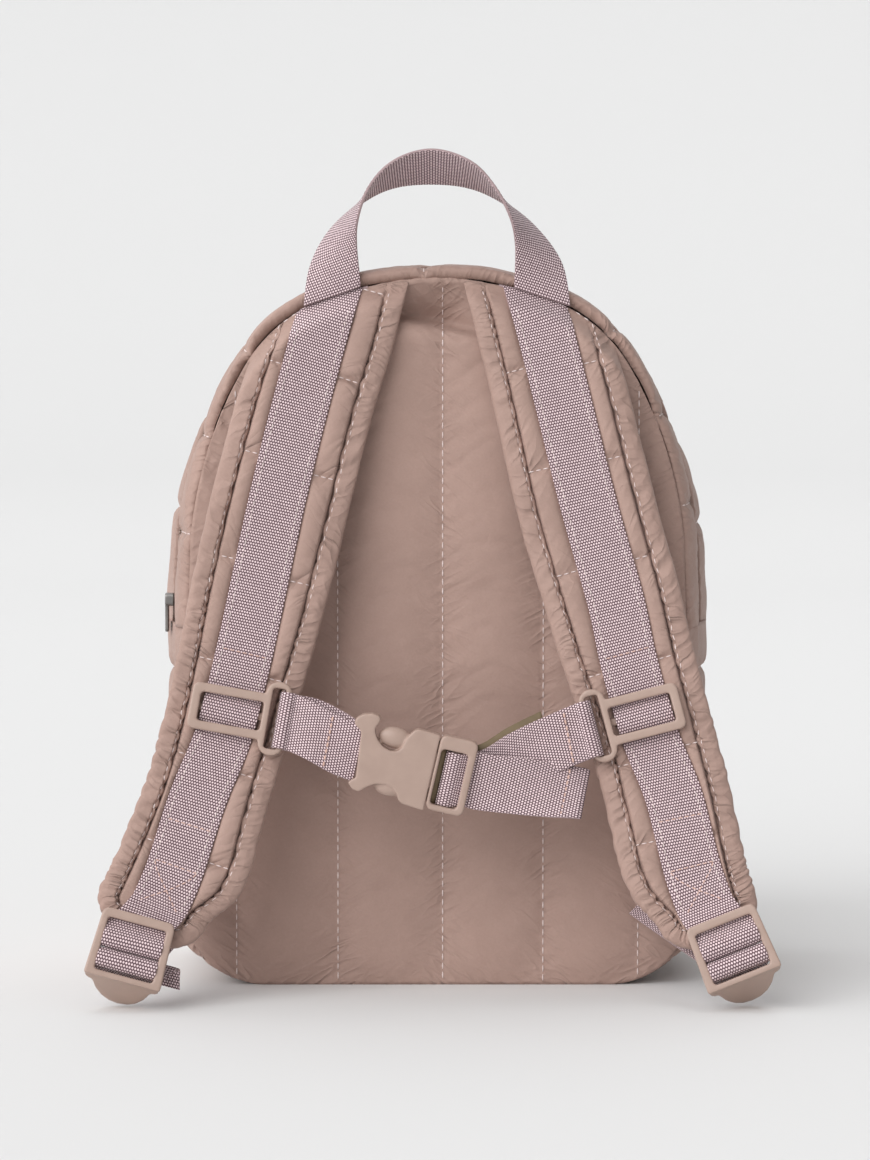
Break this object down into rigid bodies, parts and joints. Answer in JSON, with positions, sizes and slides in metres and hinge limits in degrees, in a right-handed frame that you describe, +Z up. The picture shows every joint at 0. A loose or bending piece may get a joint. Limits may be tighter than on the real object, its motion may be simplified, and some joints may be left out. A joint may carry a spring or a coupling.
{
  "type": "backpack",
  "caption": "Small quilted nylon backpack standing upright, with an arched zip, padded shoulder straps, webbing adjusters, a buckled chest strap and a grab handle.",
  "frame": {"origin": "bottom centre of the bounding box, on the floor the bag stands on", "axes": "+Z up, -Y towards the shoulder straps, +Y towards the bag's front panel, +X to the right seen from the strap side"},
  "size_m": [0.3058, 0.2082, 0.3819],
  "materials": {
    "nylon": "taupe padded nylon, slightly glossy on the puffs",
    "webbing": "two-tone pinkish woven webbing",
    "plastic": "moulded taupe plastic, satin",
    "zip": "woven tape with a nylon coil",
    "metal": "dull grey cast metal"
  },
  "bodies": {
    "root": {"rear_gusset": "nylon", "front_gusset": "nylon", "lower_gusset": "nylon", "zip_chain": "zip", "zip_slider": "metal", "back_panel": "nylon", "front_panel": "nylon", "grab_handle": "webbing", "strap_pad_left": "nylon", "strap_binding_left": "nylon", "strap_slider_left": "plastic", "ladder_lock_left": "plastic", "strap_webbing_left": "webbing", "lower_webbing_left": "webbing", "strap_pad_right": "nylon", "strap_binding_right": "nylon", "strap_slider_right": "plastic", "ladder_lock_right": "plastic", "strap_webbing_right": "webbing", "lower_webbing_right": "webbing", "buckle_receiver": "plastic", "buckle_latch": "plastic", "chest_strap_left": "webbing", "chest_strap_right": "webbing"}
  },
  "joints": []
}
